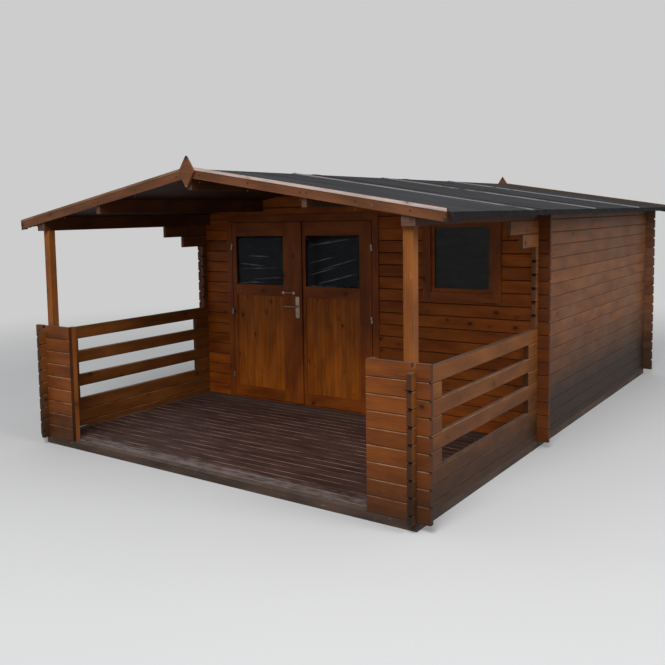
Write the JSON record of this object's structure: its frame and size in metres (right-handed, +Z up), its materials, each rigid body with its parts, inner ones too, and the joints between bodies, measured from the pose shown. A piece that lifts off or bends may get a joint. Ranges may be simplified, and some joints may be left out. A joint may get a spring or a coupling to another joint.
{
  "type": "garden shed",
  "caption": "Log garden shed with a shallow gable roof, a roofed porch between slatted balustrades, double glazed doors and a side window.",
  "frame": {"origin": "middle of the bounding box, on the ground under the sills", "axes": "+Z up, the porch and the doors face -Y, +X to the right of someone who looks at the doors"},
  "size_m": [4.134, 6.29, 2.4446],
  "materials": {
    "log_timber": "semi-gloss, stained",
    "frame_timber": "matt, weathered",
    "floor_boards": "matt, grooved",
    "roof_felt": "matt, mineral grit",
    "glass": "clear",
    "steel": "dull zinc",
    "trim_timber": "semi-gloss, stained",
    "door_boards": "semi-gloss, stained",
    "joinery": "semi-gloss, stained",
    "roof_timber": "semi-gloss, stained",
    "post_timber": "semi-gloss, stained"
  },
  "bodies": {
    "cabin": {"back_barge_left": "trim_timber", "back_barge_right": "trim_timber", "back_finial": "trim_timber", "back_wall": "log_timber", "cabin_floor": "floor_boards", "deck_boards": "floor_boards", "door_frame": "joinery", "floor_frame": "frame_timber", "front_barge_left": "trim_timber", "front_barge_right": "trim_timber", "front_finial": "trim_timber", "front_gable": "log_timber", "front_wall_left": "log_timber", "front_wall_right": "log_timber", "left_balustrade": "log_timber", "left_batten": "post_timber", "left_eave_beam": "roof_timber", "left_felt": "roof_felt", "left_pier": "log_timber", "left_post": "post_timber", "left_purlin": "roof_timber", "left_roof_boards": "roof_timber", "left_wall": "log_timber", "ridge_purlin": "roof_timber", "right_balustrade": "log_timber", "right_batten": "post_timber", "right_eave_beam": "roof_timber", "right_felt": "roof_felt", "right_pier": "log_timber", "right_post": "post_timber", "right_purlin": "roof_timber", "right_roof_boards": "roof_timber", "right_wall": "log_timber", "window_frame": "joinery", "window_glass": "glass"},
    "left_leaf": {"left_door_frame": "joinery", "left_door_boards": "door_boards", "left_door_glass": "glass", "door_plate": "steel", "door_bolt": "steel"},
    "right_leaf": {"right_door_frame": "joinery", "right_door_boards": "door_boards", "right_door_glass": "glass"},
    "lever": {"door_lever": "steel"}
  },
  "joints": [
    {"name": "left_door_hinge", "type": "hinge", "parent": "cabin", "child": "left_leaf", "pos_m": [-1.4125, -0.898, 1.004], "axis": [0, 0, -1], "range_deg": [0, 110]},
    {"name": "right_door_hinge", "type": "hinge", "parent": "cabin", "child": "right_leaf", "pos_m": [0.2785, -0.898, 1.004], "axis": [0, 0, 1], "range_deg": [0, 110]},
    {"name": "lever_turn", "type": "hinge", "parent": "left_leaf", "child": "lever", "pos_m": [-0.567, -0.921, 1.078], "axis": [0, -1, 0], "range_deg": [0, 40], "stiffness_Nm_per_rad": 1.5, "springref_deg": -22.92}
  ]
}
